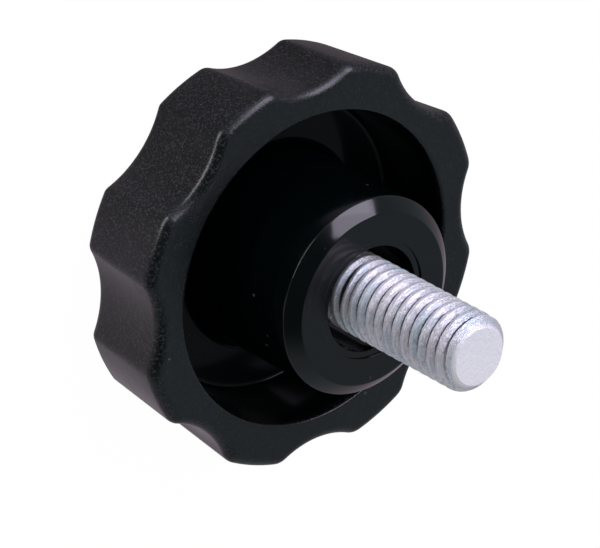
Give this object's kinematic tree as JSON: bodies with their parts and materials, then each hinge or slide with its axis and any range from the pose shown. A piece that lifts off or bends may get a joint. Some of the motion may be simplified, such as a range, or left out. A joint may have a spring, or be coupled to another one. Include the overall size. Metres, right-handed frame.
{
  "type": "star knob",
  "caption": "Star knob with finger scallops round a hollow rim, a raised hub with a chamfered boss, and a moulded-in threaded steel stud.",
  "frame": {"origin": "centre of the crown's flat outer face, on the stud's axis", "axes": "+Z along the stud towards its tip, +X through the middle of a lobe"},
  "size_m": [0.041, 0.041, 0.0348],
  "materials": {
    "moulding": "black glass-filled plastic with a fine moulded grain",
    "stud": "bright zinc plating on rolled steel"
  },
  "bodies": {
    "root": {"knob_body": "moulding", "threaded_stud": "stud"}
  },
  "joints": []
}
